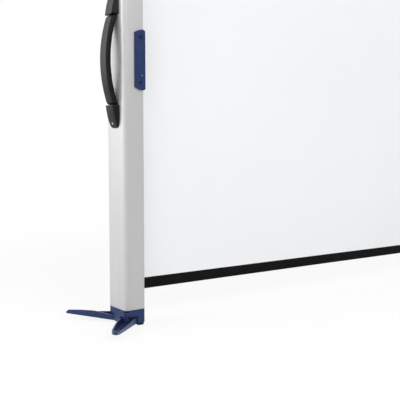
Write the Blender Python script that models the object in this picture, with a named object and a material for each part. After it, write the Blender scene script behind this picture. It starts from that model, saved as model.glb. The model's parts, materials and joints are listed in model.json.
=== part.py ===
"""Tabletop projection screen that pulls out sideways from an upright case.

Metres, +Z up, +X is the pull-out direction, the viewer stands at -Y.
The origin is on the table, midway between the two upright posts.
"""
import math

import bmesh
import bpy
from mathutils import Matrix, Vector

# Fits
CLEAR = 0.0003            # gap between pieces that sit against each other
RUN = 0.0004              # radial gap of turning and sliding pieces
OVERCUT = 0.002           # how far a cutter reaches past the face it opens

# Upright posts
POST_DEPTH = 0.0615       # both posts, front to back
CASE_WIDTH = 0.040
POST_WIDTH = 0.040
WALL = 0.002
OUTER_RADIUS = 0.008      # corners that face away from the screen
INNER_RADIUS = 0.004      # corners beside the screen
SLOT_WIDTH = 0.0054

# Heights above the table
PAD_HEIGHT = 0.0045
FOOT_HEIGHT = 0.0240      # end cap, from its underside to the metal post
END_ROOM = 0.0285         # post length past the sheet at each end
TOP_CAP_HEIGHT = 0.014
CROWN_RADIUS = 0.003      # round of the top cap's rim
CROWN_STEPS = 3
PLUG_LENGTH = 0.018       # spigot of an end cap inside its post

# Screen sheet
VIEW_WIDTH = 1.016        # white width between the posts
VIEW_HEIGHT = 0.762
BORDER = 0.020
FABRIC_THICKNESS = 0.0004
CLOSED_GAP = 0.006        # between the posts when the screen is wound in

# Spring roller
TUBE_RADIUS = 0.010
TUBE_WALL = 0.0012
WRAPS_THICKNESS = 0.0008
TUBE_OVERHANG = 0.0025    # tube length past the sheet at each end
JOURNAL_RADIUS = 0.0040
JOURNAL_LENGTH = 0.010
SHAFT_RADIUS = 0.0040
SHAFT_LENGTH = 0.300
SHAFT_FLAT = 0.0028       # half thickness of the flattened shaft end
SPRING_TURNS = 14
SPRING_WIRE_RADIUS = 0.0007
SPRING_MEAN_RADIUS = 0.0062
DISC_THICKNESS = 0.002
FELT_THICKNESS = 0.0015
PLUG_FLANGE = 0.003
PLUG_SPIGOT = 0.014

# Carry handle
HANDLE_HALF_GRIP = 0.076  # from the middle to the mouth of a boot
HANDLE_REACH = 0.115      # from the middle to the far end of a boot
HANDLE_Y = -0.0015        # handle's line, just in front of the middle of the case
STRAP_WIDTH = 0.025
STRAP_THICKNESS = 0.0095
STRAP_STAND = 0.0138      # finger gap at the middle
GRIP_STEP = 0.0015        # grip stops this far short of a boot's mouth
GRIP_STEPS = 8
TONGUE_THICKNESS = 0.003  # strap inside a boot
TONGUE_WIDTH = 0.016
TONGUE_SHORT = 0.019      # tongue ends this far before the boot does
BOOT_WIDTH = 0.031
BOOT_HEIGHT = 0.0122      # at the mouth
BOOT_FALL = 0.0060        # height lost evenly along the boot
BOOT_DIP = 0.0048         # height lost near the toe
BOOT_TOE_WIDTH = 0.009
BOOT_TOE_START = 0.55     # share of the length where the sides begin to close in
BOOT_LEAN = 0.16          # how far each side leans in, as a share of the half width
BOOT_RIDGE = 0.0022       # rounding where a side meets the outer face
BOOT_STEPS = 12
RIDGE_STEPS = 3

# Catch on the case and latch on the pull post
CATCH_LENGTH = 0.102
CATCH_WIDTH = 0.019       # on the front face
CATCH_THICKNESS = 0.0034
CATCH_PROUD = 0.0008      # past the side of the case
CATCH_RETURN = 0.011      # along the side of the case
STUD_DROP = 0.027         # stud below the middle of the catch
STUD_INSET = 0.0086       # stud from the side of the case
STUD_RADIUS = 0.0018
STUD_HEIGHT = 0.0055
CATCH_SCREW_OFFSET = 0.038
END_RISE_FAR = 0.0050     # rounded ends of the plates, away from the gap
END_RISE_NEAR = 0.0022    # and beside the gap
PLATE_LOWEST = 0.75       # share of a plate's width where its end reaches furthest
PLATE_STEPS = 8
LEVER_THICKNESS = 0.003
LEVER_WIDTH = 0.011
LEVER_PIVOT_INSET = 0.014
LEVER_TAIL = 0.006
PIVOT_RADIUS = 0.002

# Folding legs
LEG_SPLAY = math.radians(47.2)    # away from the line of the screen
LEG_LENGTH = 0.0840               # from the pivot to the centre of the round tip
LEG_RISE = 0.0056                 # underside at the tip above the underside at the pivot
LEG_TIP_RADIUS = 0.0068
LEG_TIP_OFFSET = -0.0025          # side offsets, screen side negative
LEG_ROOT_INSIDE = -0.0158
LEG_ROOT_OUTSIDE = 0.0115
LEG_ROOT_START_INSIDE = -0.0085   # where the two side walls begin
LEG_ROOT_START_OUTSIDE = -0.0040
LEG_WALL = 0.002
LEG_FLOOR = 0.0018
LEG_RIM_OUTSIDE = ((0.0, 0.0092), (0.2, 0.0108), (0.4, 0.0121), (0.7, 0.0102), (1.0, 0.0070))
LEG_RIM_INSIDE = ((0.0, 0.0098), (0.2, 0.0080), (0.4, 0.0062), (0.7, 0.0045), (1.0, 0.0034))
LEG_NOSE_HEIGHT = 0.0014          # rim at the very end of the tip
LEG_STATIONS = 10
LEG_TIP_STEPS = 5
LEG_NOSE_WALL = 0.98               # share of the side walls where the tray's end wall starts
LEG_TIP_START = 85.0              # angles of the round tip, from the leg's line
LEG_TIP_END = 15.0
WALL_SHARE_LIMIT = 0.3            # of the width, near the nose
LEG_SLOT_CLEARANCE = 0.0025
PIVOT_HEIGHT = 0.0180             # above the underside of the foot
PIVOT_OUTSET = 0.0026             # outward of the corner's centre
KNUCKLE_WIDTH = 0.008
KNUCKLE_RADIUS = 0.0042
PIN_RADIUS = 0.0015
PIN_LENGTH = 0.0118
FOOT_PAD_SIZE = 0.0120
FOOT_PAD_CORNER = 0.0025
FOOT_PAD_CHAMFER = 0.0006
PAD_EDGE = 0.0014                 # foot pad from the side of its foot
TIP_PAD_RADIUS = 0.004
TIP_PAD_PROUD = 0.001
PAD_CHAMFER = 0.85                # share of a pad's radius that meets the table

# Screws
SCREW_RADIUS = 0.0014
SCREW_HEAD_RADIUS = 0.0027
SCREW_HEAD_HEIGHT = 0.0016
SCREW_LENGTH = 0.008
SCREW_DRIVE = 0.0011
SCREW_DRIVE_DEPTH = 0.0009

ROUND = 24                # sides of a round piece
SMALL_ROUND = 14

# Derived levels and places
FOOT_TOP = PAD_HEIGHT + FOOT_HEIGHT
POST_LENGTH = VIEW_HEIGHT + 2 * BORDER + 2 * END_ROOM
POST_TOP = FOOT_TOP + POST_LENGTH
MIDDLE = FOOT_TOP + POST_LENGTH / 2
FABRIC_BOTTOM = MIDDLE - VIEW_HEIGHT / 2 - BORDER
FABRIC_TOP = MIDDLE + VIEW_HEIGHT / 2 + BORDER
PLUG_TOP = FOOT_TOP + PLUG_LENGTH
UPPER_PLUG_BOTTOM = POST_TOP - PLUG_LENGTH
HALF_SPAN = (CASE_WIDTH + VIEW_WIDTH + POST_WIDTH) / 2
CASE_LEFT = -HALF_SPAN
CASE_RIGHT = CASE_LEFT + CASE_WIDTH
CASE_X = CASE_LEFT + CASE_WIDTH / 2
POST_RIGHT = HALF_SPAN
POST_LEFT = POST_RIGHT - POST_WIDTH
FRONT = -POST_DEPTH / 2
BACK = POST_DEPTH / 2
WRAPS_RADIUS = TUBE_RADIUS + CLEAR + WRAPS_THICKNESS
ROLLER_Y = FABRIC_THICKNESS / 2 + CLEAR + WRAPS_RADIUS
TUBE_BOTTOM = FABRIC_BOTTOM - TUBE_OVERHANG
TUBE_TOP = FABRIC_TOP + TUBE_OVERHANG
TUBE_BORE = TUBE_RADIUS - TUBE_WALL
PIVOT_Z = PAD_HEIGHT + PIVOT_HEIGHT
STRAP_GAP = 2 * CLEAR
STUD_Z = MIDDLE - STUD_DROP
CATCH_FRONT = FRONT - CLEAR - CATCH_THICKNESS

MATERIALS = {}


def clear_scene():
    for old in list(bpy.data.objects):
        bpy.data.objects.remove(old, do_unlink=True)


def material(name, colour, roughness, metallic=0.0):
    if name not in MATERIALS:
        made = bpy.data.materials.new(name)
        made.use_nodes = True
        shader = made.node_tree.nodes["Principled BSDF"]
        shader.inputs["Base Color"].default_value = (*colour, 1.0)
        shader.inputs["Roughness"].default_value = roughness
        shader.inputs["Metallic"].default_value = metallic
        MATERIALS[name] = made
    return MATERIALS[name]


def metal():
    return material("satin_aluminium", (0.62, 0.62, 0.63), 0.38, 0.7)


def steel():
    return material("zinc_steel", (0.55, 0.55, 0.56), 0.35, 1.0)


def dark_steel():
    return material("black_steel", (0.03, 0.03, 0.033), 0.4, 1.0)


def blue():
    return material("blue_plastic", (0.035, 0.055, 0.17), 0.45)


def black():
    return material("black_rubber", (0.02, 0.02, 0.023), 0.55)


def white():
    return material("white_sheet", (0.85, 0.86, 0.87), 0.8)


def felt():
    return material("grey_felt", (0.12, 0.12, 0.12), 0.95)


def nylon():
    return material("pale_nylon", (0.7, 0.69, 0.65), 0.5)


def add(name, bm, finish, smooth=None):
    """Make one object from a bmesh, with its faces pointing out."""
    bmesh.ops.recalc_face_normals(bm, faces=bm.faces)
    mesh = bpy.data.meshes.new(name)
    bm.to_mesh(mesh)
    bm.free()
    made = bpy.data.objects.new(name, mesh)
    bpy.context.scene.collection.objects.link(made)
    if finish is not None:
        mesh.materials.append(finish)
    if smooth:
        mesh.shade_smooth()
        mesh.set_sharp_from_angle(angle=math.radians(smooth))
    return made


def cut(target, bm, operation="DIFFERENCE"):
    """Cut a hidden solid out of an object, or join it on."""
    tool = add(target.name + "_tool", bm, None)
    tool.hide_render = True
    tool.display_type = "WIRE"
    change = target.modifiers.new(operation.lower(), "BOOLEAN")
    change.operation = operation
    change.solver = "EXACT"
    change.object = tool
    return tool


def arc(cx, cy, radius, start, end, steps):
    """Points from one angle to another, both included, in degrees."""
    turn = [math.radians(start + (end - start) * i / steps) for i in range(steps + 1)]
    return [(cx + radius * math.cos(a), cy + radius * math.sin(a)) for a in turn]


def rounded(x0, x1, y0, y1, left, right, steps=6):
    """Rounded rectangle whose left and right corners have their own radius."""
    return (
        arc(x1 - right, y0 + right, right, -90, 0, steps)
        + arc(x1 - right, y1 - right, right, 0, 90, steps)
        + arc(x0 + left, y1 - left, left, 90, 180, steps)
        + arc(x0 + left, y0 + left, left, 180, 270, steps)
    )


def skin(loops):
    """Solid through loops of points with equal counts, capped at both ends."""
    bm = bmesh.new()
    rings = [[bm.verts.new(point) for point in loop] for loop in loops]
    bm.faces.new(rings[0])
    bm.faces.new(rings[-1])
    for lower, upper in zip(rings, rings[1:]):
        for i in range(len(lower)):
            j = (i + 1) % len(lower)
            bm.faces.new((lower[i], lower[j], upper[j], upper[i]))
    return bm


def stack(levels):
    """Solid through a list of (outline, height)."""
    return skin([[(x, y, z) for x, y in outline] for outline, z in levels])


def prism(outline, low, high, matrix=None):
    """Outline in X and Y, extruded along Z."""
    bm = stack([(outline, low), (outline, high)])
    if matrix is not None:
        bm.transform(matrix)
    return bm


def block(x0, x1, y0, y1, z0, z1):
    return prism([(x0, y0), (x1, y0), (x1, y1), (x0, y1)], z0, z1)


def turned(profile, sides=ROUND, matrix=None):
    """Solid of revolution about Z from (radius, height) steps, capped at both ends."""
    turn = [2 * math.pi * i / sides for i in range(sides)]
    bm = skin([[(r * math.cos(a), r * math.sin(a), h) for a in turn] for r, h in profile])
    if matrix is not None:
        bm.transform(matrix)
    return bm


def ring(profile, sides=ROUND, matrix=None):
    """Hollow turned body from a closed (radius, height) outline."""
    bm = bmesh.new()
    loops = []
    for i in range(sides):
        a = 2 * math.pi * i / sides
        loops.append([bm.verts.new((r * math.cos(a), r * math.sin(a), h)) for r, h in profile])
    for i in range(sides):
        here, after = loops[i], loops[(i + 1) % sides]
        for k in range(len(profile)):
            m = (k + 1) % len(profile)
            bm.faces.new((here[k], here[m], after[m], after[k]))
    if matrix is not None:
        bm.transform(matrix)
    return bm


def tube(inner, outer, low, high, sides=ROUND, matrix=None):
    return ring([(inner, low), (outer, low), (outer, high), (inner, high)], sides, matrix)


def rod(radius, low, high, sides=ROUND, matrix=None):
    return turned([(radius, low), (radius, high)], sides, matrix)


def at(x, y, z=0.0):
    return Matrix.Translation((x, y, z))


def facing(point, direction):
    """Frame at a point whose Z runs along a direction."""
    turn = Vector(direction).to_track_quat("Z", "Y").to_matrix().to_4x4()
    return Matrix.Translation(point) @ turn


def screw(name, point, outward, sink=0.0, finish=steel):
    """Pan head screw whose head sits on a face at point, with a square drive."""
    place = facing(point, outward)
    seat = CLEAR - sink
    head = seat + SCREW_HEAD_HEIGHT
    profile = [
        (SCREW_RADIUS, seat - SCREW_LENGTH),
        (SCREW_RADIUS, seat),
        (SCREW_HEAD_RADIUS, seat),
        (SCREW_HEAD_RADIUS, head - SCREW_HEAD_HEIGHT / 3),
        (SCREW_HEAD_RADIUS * 0.75, head),
    ]
    made = add(name, turned(profile, SMALL_ROUND, place), finish(), 40)
    drive = prism(arc(0, 0, SCREW_DRIVE, 0, 270, 3), head - SCREW_DRIVE_DEPTH, head + OVERCUT, place)
    cut(made, drive)
    return made


def screw_hole(target, point, outward, length=SCREW_LENGTH, rise=OVERCUT):
    """Clearance hole for a screw shank, from above the face to past its tip."""
    place = facing(point, outward)
    cut(target, rod(SCREW_RADIUS + CLEAR, CLEAR - length - CLEAR, rise, SMALL_ROUND, place))


def screw_recess(target, point, outward, sink):
    """Counterbore that takes a sunk screw head."""
    place = facing(point, outward)
    cut(target, rod(SCREW_HEAD_RADIUS + RUN, -sink, OVERCUT, SMALL_ROUND, place))


# Section outlines of the two posts


def post_outline(side, inset):
    """Outline of a post at a depth inside its skin; side -1 is the case, 1 the pull post."""
    away = max(OUTER_RADIUS - inset, WALL / 2)
    beside = max(INNER_RADIUS - inset, WALL / 2)
    if side < 0:
        return rounded(CASE_LEFT + inset, CASE_RIGHT - inset, FRONT + inset, BACK - inset, away, beside)
    return rounded(POST_LEFT + inset, POST_RIGHT - inset, FRONT + inset, BACK - inset, beside, away)


def add_post(name, side):
    """Hollow metal post with a slot for the sheet on the side that faces the screen."""
    made = add(name, prism(post_outline(side, 0.0), FOOT_TOP + CLEAR, POST_TOP - CLEAR), metal(), 35)
    cut(made, prism(post_outline(side, WALL), FOOT_TOP - OVERCUT, POST_TOP + OVERCUT))
    face = CASE_RIGHT if side < 0 else POST_LEFT
    reach = WALL + OVERCUT
    half = SLOT_WIDTH / 2
    cut(made, block(face - reach, face + reach, -half, half, FOOT_TOP - OVERCUT, POST_TOP + OVERCUT))
    return made


# Folding legs and the feet that carry them


def leg_frame(side, end):
    """Frame on a leg's pivot: X runs out along the leg, Y across it, away from the screen."""
    corner = Vector((side * (HALF_SPAN - OUTER_RADIUS), end * (POST_DEPTH / 2 - OUTER_RADIUS), PIVOT_Z))
    out = Vector((side * math.cos(LEG_SPLAY), end * math.sin(LEG_SPLAY), 0.0))
    across = Vector((side * math.sin(LEG_SPLAY), -end * math.cos(LEG_SPLAY), 0.0))
    place = Matrix.Identity(4)
    place.col[0][:3] = out
    place.col[1][:3] = across
    place.translation = corner + out * PIVOT_OUTSET
    return place


def leg_sides():
    """The leg's two edges in plan, from the root to the nose, as matching lists of points."""
    edges = []
    for start, offset, way in (
        (LEG_ROOT_START_INSIDE, LEG_ROOT_INSIDE, -1),
        (LEG_ROOT_START_OUTSIDE, LEG_ROOT_OUTSIDE, 1),
    ):
        first, last = way * LEG_TIP_START, way * LEG_TIP_END
        tip = arc(LEG_LENGTH, LEG_TIP_OFFSET, LEG_TIP_RADIUS, first, last, LEG_TIP_STEPS)
        root = Vector((start, offset))
        shares = [i / LEG_STATIONS for i in range(LEG_STATIONS)] + [LEG_NOSE_WALL]
        line = [tuple(root.lerp(Vector(tip[0]), share)) for share in shares]
        edges.append(line + tip)
    return edges


def underside(x):
    return -PIVOT_HEIGHT + LEG_RISE * x / LEG_LENGTH


def rim(table, x):
    """Wall height at a point along the leg, read from a table of (share of length, height)."""
    share = min(max(x / LEG_LENGTH, 0.0), 1.0)
    for (a, low), (b, high) in zip(table, table[1:]):
        if share <= b:
            height = low + (high - low) * (share - a) / (b - a)
            break
    past = max((x - LEG_LENGTH) / (LEG_TIP_RADIUS * math.cos(math.radians(LEG_TIP_END))), 0.0)
    return height + (LEG_NOSE_HEIGHT - height) * past


def leg_shell():
    """Tray with a tall outer wall, a low wall on the screen side and a closed nose."""
    loops = []
    inside, outside = leg_sides()
    for i, (near, far) in enumerate(zip(inside, outside)):
        a, b = Vector(near), Vector(far)
        width = (b - a).length
        wall = (b - a) * min(LEG_WALL / width, WALL_SHARE_LIMIT)
        low_a, low_b = underside(a.x), underside(b.x)
        top_a = low_a + rim(LEG_RIM_INSIDE, a.x)
        top_b = low_b + rim(LEG_RIM_OUTSIDE, b.x)
        c, d = a + wall, b - wall
        floor_a, floor_b = underside(c.x) + LEG_FLOOR, underside(d.x) + LEG_FLOOR
        if i > LEG_STATIONS:
            floor_a, floor_b = top_a - CLEAR, top_b - CLEAR
        loops.append([
            (*a, low_a), (*a, top_a), (*c, top_a), (*c, floor_a),
            (*d, floor_b), (*d, top_b), (*b, top_b), (*b, low_b),
        ])
    return skin(loops)


def knuckle_outline():
    """Side view of the hinge knuckle: round over the pivot, straight down to the floor."""
    foot = underside(0.0) + LEG_FLOOR / 2
    return arc(0, 0, KNUCKLE_RADIUS, 0, 180, 10) + [(-KNUCKLE_RADIUS, foot), (KNUCKLE_RADIUS, foot)]


ON_EDGE = Matrix(((1, 0, 0, 0), (0, 0, -1, 0), (0, 1, 0, 0), (0, 0, 0, 1)))
TIP_SEAT = LEG_FLOOR / 3


def add_leg(name, side, end):
    """Tray shaped leg with a knuckle on its root and a hole for the pin."""
    place = leg_frame(side, end)
    made = add(name, leg_shell(), blue(), 35)
    half = KNUCKLE_WIDTH / 2
    cut(made, prism(knuckle_outline(), -half, half, ON_EDGE), "UNION")
    cut(made, rod(PIN_RADIUS + CLEAR, -KNUCKLE_WIDTH, KNUCKLE_WIDTH, SMALL_ROUND, ON_EDGE))
    low = underside(LEG_LENGTH)
    tip = at(LEG_LENGTH, LEG_TIP_OFFSET)
    cut(made, rod(TIP_PAD_RADIUS + CLEAR, low - OVERCUT, low + TIP_SEAT, SMALL_ROUND, tip))
    for piece in [made] + [m.object for m in made.modifiers]:
        piece.matrix_world = place
    return made


def add_leg_pad(name, side, end):
    """Rubber pad let into the underside of a leg's tip."""
    top = underside(LEG_LENGTH) + TIP_SEAT - CLEAR
    low = underside(LEG_LENGTH) - TIP_PAD_PROUD
    profile = [
        (TIP_PAD_RADIUS * PAD_CHAMFER, low),
        (TIP_PAD_RADIUS, low + TIP_PAD_PROUD / 2),
        (TIP_PAD_RADIUS, top),
    ]
    made = add(name, turned(profile, SMALL_ROUND, at(LEG_LENGTH, LEG_TIP_OFFSET)), black(), 40)
    made.matrix_world = leg_frame(side, end)
    return made


def add_leg_pin(name, side, end):
    made = add(name, rod(PIN_RADIUS, -PIN_LENGTH / 2, PIN_LENGTH / 2, SMALL_ROUND, ON_EDGE), steel(), 40)
    made.matrix_world = leg_frame(side, end)
    return made


def foot_pads(side):
    """Boxes (x0, x1, y0, y1) of the pads under a foot: two beside the screen, one between the legs."""
    face = CASE_RIGHT if side < 0 else POST_LEFT
    beside = sorted((face + side * PAD_EDGE, face + side * (PAD_EDGE + FOOT_PAD_SIZE)))
    away = side * (HALF_SPAN - PAD_EDGE)
    outer = sorted((away, away - side * FOOT_PAD_SIZE))
    deep = PAD_EDGE + FOOT_PAD_SIZE
    return {
        "front": (*beside, FRONT + PAD_EDGE, FRONT + deep),
        "rear": (*beside, BACK - deep, BACK - PAD_EDGE),
        "middle": (*outer, -FOOT_PAD_SIZE / 2, FOOT_PAD_SIZE / 2),
    }


def pad_outline(box, grow):
    x0, x1, y0, y1 = box
    corner = FOOT_PAD_CORNER + grow
    return rounded(x0 - grow, x1 + grow, y0 - grow, y1 + grow, corner, corner, 4)


PAD_SEAT = PAD_HEIGHT / 3


def add_foot(name, side):
    """Blue end cap under a post: spigot, leg pockets, hinge cheeks and pad seats."""
    outside = post_outline(side, 0.0)
    plug = post_outline(side, WALL + CLEAR)
    levels = [(outside, PAD_HEIGHT), (outside, FOOT_TOP), (plug, FOOT_TOP), (plug, PLUG_TOP)]
    made = add(name, stack(levels), blue(), 35)
    for end in (-1, 1):
        place = leg_frame(side, end)
        gap = LEG_SLOT_CLEARANCE
        reach = LEG_LENGTH / 2
        pocket = [
            (LEG_ROOT_START_OUTSIDE - gap, LEG_ROOT_OUTSIDE + gap),
            (LEG_ROOT_START_INSIDE - gap, LEG_ROOT_INSIDE - gap),
            (reach, LEG_ROOT_INSIDE - gap),
            (reach, LEG_ROOT_OUTSIDE + gap),
        ]
        top = -PIVOT_HEIGHT + LEG_RIM_INSIDE[0][1] + gap
        low = -PIVOT_HEIGHT - OVERCUT
        cut(made, prism(pocket, low, top, place))
        half = KNUCKLE_WIDTH / 2 + RUN
        radius = KNUCKLE_RADIUS + 2 * RUN
        opening = arc(0, 0, radius, 90, 180, 6) + [(-radius, low), (reach, low), (reach, radius)]
        cut(made, prism(opening, -half, half, place @ ON_EDGE))
        pin_half = PIN_LENGTH / 2 + CLEAR
        cut(made, rod(PIN_RADIUS + CLEAR, -pin_half, pin_half, SMALL_ROUND, place @ ON_EDGE))
    for box in foot_pads(side).values():
        cut(made, prism(pad_outline(box, CLEAR), PAD_HEIGHT - OVERCUT, PAD_HEIGHT + PAD_SEAT))
    return made


def add_foot_pad(name, box):
    plain = pad_outline(box, 0.0)
    levels = [
        (pad_outline(box, -FOOT_PAD_CHAMFER), 0.0),
        (plain, FOOT_PAD_CHAMFER),
        (plain, PAD_HEIGHT + PAD_SEAT - CLEAR),
    ]
    return add(name, stack(levels), black(), 40)


def add_top_cap(name, side):
    """Blue end cap on top of a post, with a softened rim and a spigot."""
    outside = post_outline(side, 0.0)
    plug = post_outline(side, WALL + CLEAR)
    top = POST_TOP + TOP_CAP_HEIGHT
    levels = [(plug, UPPER_PLUG_BOTTOM), (plug, POST_TOP), (outside, POST_TOP)]
    for i in range(CROWN_STEPS + 1):
        a = math.pi / 2 * i / CROWN_STEPS
        inset = CROWN_RADIUS * (1 - math.cos(a))
        levels.append((post_outline(side, inset), top - CROWN_RADIUS * (1 - math.sin(a))))
    return add(name, stack(levels), blue(), 35)


def build_posts():
    parts = {}
    for side, word in ((-1, "case"), (1, "post")):
        parts[word] = add_post(word + "_extrusion", side)
        foot = add_foot(word + "_foot", side)
        top = add_top_cap(word + "_top_cap", side)
        parts[word + "_foot"] = foot
        parts[word + "_top_cap"] = top
        for end, where in ((-1, "front"), (1, "rear")):
            add_leg(f"{word}_leg_{where}", side, end)
            add_leg_pad(f"{word}_leg_pad_{where}", side, end)
            add_leg_pin(f"{word}_leg_pin_{where}", side, end)
        for where, box in foot_pads(side).items():
            add_foot_pad(f"{word}_foot_pad_{where}", box)
        middle = CASE_X if side < 0 else (POST_LEFT + POST_RIGHT) / 2
        for where, height, cap in (
            ("lower", FOOT_TOP + PLUG_LENGTH / 2, foot),
            ("upper", POST_TOP - PLUG_LENGTH / 2, top),
        ):
            point = (middle, BACK, height)
            screw(f"{word}_cap_screw_{where}", point, (0, 1, 0))
            screw_hole(parts[word], point, (0, 1, 0))
            screw_hole(cap, point, (0, 1, 0))
    return parts


# Spring roller


def build_roller(parts):
    """Tube that turns on a bush below and on a fixed spring shaft above."""
    axis = at(CASE_X, ROLLER_Y)
    add("roller_tube", tube(TUBE_BORE, TUBE_RADIUS, TUBE_BOTTOM, TUBE_TOP, ROUND, axis), metal(), 40)
    wraps = tube(TUBE_RADIUS + CLEAR, WRAPS_RADIUS, FABRIC_BOTTOM, FABRIC_TOP, ROUND, axis)
    add("fabric_wraps", wraps, white(), 40)

    spigot = TUBE_BORE - CLEAR
    bush_wall = WALL
    bush_bore = JOURNAL_RADIUS + RUN
    bush_top = PLUG_TOP + CLEAR + bush_wall
    flange_low = TUBE_BOTTOM - CLEAR - PLUG_FLANGE
    lower_plug = [
        (JOURNAL_RADIUS, PLUG_TOP - JOURNAL_LENGTH),
        (JOURNAL_RADIUS, bush_top + CLEAR),
        (spigot, bush_top + CLEAR),
        (spigot, flange_low),
        (TUBE_RADIUS, flange_low),
        (TUBE_RADIUS, TUBE_BOTTOM - CLEAR),
        (spigot, TUBE_BOTTOM - CLEAR),
        (spigot, TUBE_BOTTOM + PLUG_SPIGOT),
    ]
    add("roller_lower_plug", turned(lower_plug, ROUND, axis), nylon(), 40)
    bush_low = PLUG_TOP - JOURNAL_LENGTH - WALL
    bush = [
        (bush_bore, bush_low),
        (bush_bore + bush_wall, bush_low),
        (bush_bore + bush_wall, PLUG_TOP + CLEAR),
        (TUBE_BORE, PLUG_TOP + CLEAR),
        (TUBE_BORE, bush_top),
        (bush_bore, bush_top),
    ]
    add("bottom_bush", ring(bush, ROUND, axis), nylon(), 40)
    bush_room = bush_bore + bush_wall + CLEAR
    cut(parts["case_foot"], rod(bush_room, bush_low - CLEAR, PLUG_TOP + OVERCUT, ROUND, axis))

    shaft_bore = SHAFT_RADIUS + RUN
    flange_top = TUBE_TOP + CLEAR + PLUG_FLANGE
    upper_plug = [
        (shaft_bore, TUBE_TOP - PLUG_SPIGOT),
        (spigot, TUBE_TOP - PLUG_SPIGOT),
        (spigot, TUBE_TOP + CLEAR),
        (TUBE_RADIUS, TUBE_TOP + CLEAR),
        (TUBE_RADIUS, flange_top),
        (shaft_bore, flange_top),
    ]
    add("roller_upper_plug", ring(upper_plug, ROUND, axis), nylon(), 40)

    felt_low = flange_top + CLEAR
    felt_top = felt_low + FELT_THICKNESS
    add("brake_felt", tube(shaft_bore, TUBE_RADIUS, felt_low, felt_top, ROUND, axis), felt(), 40)
    disc_low = felt_top + CLEAR
    disc_top = disc_low + DISC_THICKNESS
    add("brake_disc", tube(SHAFT_RADIUS + CLEAR, TUBE_RADIUS, disc_low, disc_top, ROUND, axis), steel(), 40)

    shaft_top = POST_TOP - WALL
    shaft_low = TUBE_TOP - SHAFT_LENGTH
    shaft = add("spring_shaft", rod(SHAFT_RADIUS, shaft_low, shaft_top, ROUND, axis), steel(), 40)
    for way in (-1, 1):
        flat = sorted((SHAFT_FLAT * way, 2 * SHAFT_RADIUS * way))
        trim = block(-2 * SHAFT_RADIUS, 2 * SHAFT_RADIUS, flat[0], flat[1], UPPER_PLUG_BOTTOM, POST_TOP)
        trim.transform(axis)
        cut(shaft, trim)
    socket_half = SHAFT_RADIUS + CLEAR
    flat_half = SHAFT_FLAT + CLEAR
    socket = block(-socket_half, socket_half, -flat_half, flat_half,
                   UPPER_PLUG_BOTTOM - OVERCUT, shaft_top + CLEAR)
    socket.transform(axis)
    cut(parts["case_top_cap"], socket)

    anchor_top = shaft_low + PLUG_SPIGOT
    add("spring_anchor", tube(shaft_bore, spigot, shaft_low, anchor_top, ROUND, axis), nylon(), 40)
    collar_low = TUBE_TOP - 2 * PLUG_SPIGOT
    collar_outer = SPRING_MEAN_RADIUS + 2 * SPRING_WIRE_RADIUS
    collar_top = collar_low + DISC_THICKNESS
    collar = tube(SHAFT_RADIUS + CLEAR, collar_outer, collar_low, collar_top, ROUND, axis)
    add("spring_collar", collar, steel(), 40)
    add_spring(anchor_top + CLEAR, collar_low - CLEAR)


def add_spring(low, high):
    """Helical torsion spring between the anchor and the collar, one unbroken wire."""
    per_turn = 10
    count = SPRING_TURNS * per_turn
    first = low + SPRING_WIRE_RADIUS
    last = high - SPRING_WIRE_RADIUS
    curve = bpy.data.curves.new("torsion_spring", "CURVE")
    curve.dimensions = "3D"
    curve.bevel_depth = SPRING_WIRE_RADIUS
    curve.bevel_resolution = 0
    curve.use_fill_caps = True
    spline = curve.splines.new("POLY")
    spline.points.add(count)
    points = []
    for i in range(count + 1):
        a = 2 * math.pi * i / per_turn
        z = first + (last - first) * i / count
        points.append(Vector((SPRING_MEAN_RADIUS * math.cos(a), SPRING_MEAN_RADIUS * math.sin(a), z)))
        spline.points[i].co = (*points[i], 1.0)
    half_turn = per_turn // 2
    apart = [(p - q).length for i, p in enumerate(points) for q in points[i + half_turn:]]
    print("torsion_spring least gap to itself, mm:", round(1000 * (min(apart) - 2 * SPRING_WIRE_RADIUS), 2))
    curve.materials.append(steel())
    made = bpy.data.objects.new("torsion_spring", curve)
    made.location = (CASE_X, ROLLER_Y, 0.0)
    bpy.context.scene.collection.objects.link(made)


# Screen sheet and what holds its edges


def build_sheet():
    rod_radius = SLOT_WIDTH / 2 + RUN * 2
    rod_x = POST_LEFT + WALL + CLEAR + rod_radius
    edge = rod(rod_radius, PLUG_TOP + CLEAR, UPPER_PLUG_BOTTOM - CLEAR, SMALL_ROUND, at(rod_x, 0.0))
    add("sheet_edge_rod", edge, metal(), 40)
    half = FABRIC_THICKNESS / 2
    sheet = block(CASE_X, rod_x - rod_radius - CLEAR, -half, half, FABRIC_BOTTOM, FABRIC_TOP)
    add("screen_fabric", sheet, white())
    lip = SLOT_WIDTH / 2 - CLEAR
    inner = half + RUN
    for way, where in ((-1, "front"), (1, "rear")):
        y = sorted((way * inner, way * lip))
        strip = block(CASE_RIGHT - 2 * WALL, CASE_RIGHT - CLEAR, y[0], y[1], FABRIC_BOTTOM - BORDER / 4,
                      FABRIC_TOP + BORDER / 4)
        add(f"slot_felt_{where}", strip, felt())


# Carry handle


def strap_gap(u):
    """Gap between the strap and the case at a distance from the handle's middle."""
    share = min(u / HANDLE_HALF_GRIP, 1.0)
    return STRAP_GAP + (STRAP_STAND - STRAP_GAP) * (1 - share * share)


def strap_loop(u, near, thickness, width):
    """Section of the strap at a height from the handle's middle, with its corners cut."""
    edge = thickness / 4
    half = width / 2
    section = [
        (0.0, -half + edge), (edge, -half), (thickness - edge, -half), (thickness, -half + edge),
        (thickness, half - edge), (thickness - edge, half), (edge, half), (0.0, half - edge),
    ]
    return [(near - out, HANDLE_Y + y, MIDDLE + u) for out, y in section]


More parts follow.
